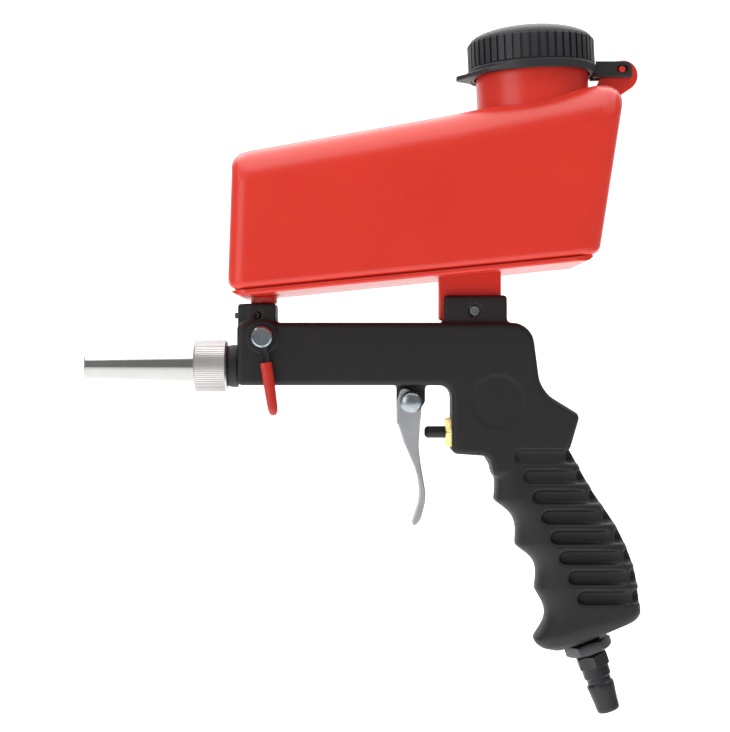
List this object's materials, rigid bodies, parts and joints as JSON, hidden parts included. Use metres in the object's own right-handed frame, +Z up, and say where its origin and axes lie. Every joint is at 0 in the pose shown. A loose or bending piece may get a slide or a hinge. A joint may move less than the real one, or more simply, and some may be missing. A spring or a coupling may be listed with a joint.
{
  "type": "gravity-feed abrasive blast gun",
  "caption": "Hand-held air blast gun: cast pistol body, steel nozzle and a hopper on top that feeds abrasive through a lever valve; a trigger works the air valve.",
  "frame": {"origin": "middle of the hand grip, on the gun's middle plane", "axes": "+X from the nozzle towards the grip's back, +Y away from the side that carries the lever, +Z up, from the air plug to the hopper's cap"},
  "size_m": [0.2547, 0.066, 0.3152],
  "materials": {
    "black_powder_coat": "fine matte powder coat on cast aluminium",
    "red_hopper_plastic": "semi-gloss moulded polyethylene",
    "black_cap_plastic": "satin moulded polypropylene",
    "polished_steel": "polished hardened steel",
    "zinc_plated_steel": "bright zinc plating",
    "cast_trigger_metal": "tumbled satin metal",
    "turned_aluminium": "turned and knurled, bright",
    "brass": "machined, bright",
    "black_oxide_steel": "black oxide",
    "red_vinyl": "dipped vinyl",
    "black_rubber": "matte",
    "spring_steel": "drawn wire"
  },
  "bodies": {
    "gun": {"gun_body": "black_powder_coat", "nozzle": "polished_steel", "nozzle_collar": "black_powder_coat", "nozzle_seal": "black_rubber", "air_jet": "brass", "spindle_washer": "zinc_plated_steel", "side_grub_screw": "black_oxide_steel", "front_grub_screw": "black_oxide_steel", "bracket_pin": "zinc_plated_steel", "hopper_shell": "red_hopper_plastic", "hopper_tray": "red_hopper_plastic", "spout_seal": "black_rubber", "pivot_screw": "zinc_plated_steel", "pivot_nut": "zinc_plated_steel", "valve_bush": "brass", "valve_washer": "black_rubber", "valve_seat_seal": "black_rubber", "valve_spring": "spring_steel", "air_plug": "black_oxide_steel", "inlet_locknut": "black_oxide_steel", "inlet_seal": "brass"},
    "media_valve": {"media_spindle": "zinc_plated_steel", "valve_lever": "black_oxide_steel", "lever_sleeve": "red_vinyl", "front_spindle_seal": "black_rubber", "rear_spindle_seal": "black_rubber", "spindle_clip": "spring_steel"},
    "clamp_nut": {"nozzle_nut": "turned_aluminium"},
    "carrier_ring": {"cap_carrier_ring": "black_cap_plastic"},
    "cap": {"screw_cap": "black_cap_plastic", "cap_gasket": "black_rubber"},
    "trigger_arm": {"trigger": "cast_trigger_metal"},
    "air_valve": {"push_pin": "black_oxide_steel", "valve_poppet": "brass"}
  },
  "joints": [
    {"name": "trigger_pull", "type": "hinge", "parent": "gun", "child": "trigger_arm", "pos_m": [-0.07, 0, 0.0636], "axis": [0, -1, 0], "range_deg": [0, 26], "stiffness_Nm_per_rad": 0.25, "springref_deg": -20.05},
    {"name": "valve_push", "type": "slide", "parent": "gun", "child": "air_valve", "axis": [1, 0, 0], "range_m": [0, 0.0053]},
    {"name": "media_turn", "type": "hinge", "parent": "gun", "child": "media_valve", "pos_m": [-0.1375, 0, 0.0931], "axis": [0, -1, 0], "range_deg": [0, 90]},
    {"name": "cap_hinge", "type": "hinge", "parent": "gun", "child": "carrier_ring", "pos_m": [0.0263, 0, 0.2155], "axis": [0, 1, 0], "range_deg": [0, 170]},
    {"name": "cap_turn", "type": "hinge", "parent": "carrier_ring", "child": "cap", "pos_m": [-0.0141, 0, 0.205], "axis": [-0.0436, 0, 0.999], "continuous": true},
    {"name": "nut_turn", "type": "hinge", "parent": "gun", "child": "clamp_nut", "pos_m": [-0.162, 0, 0.08], "axis": [1, 0, 0], "continuous": true}
  ],
  "couplings": [
    {"joint": "valve_push", "follows": "trigger_pull", "m_per_rad": 0.01146}
  ]
}
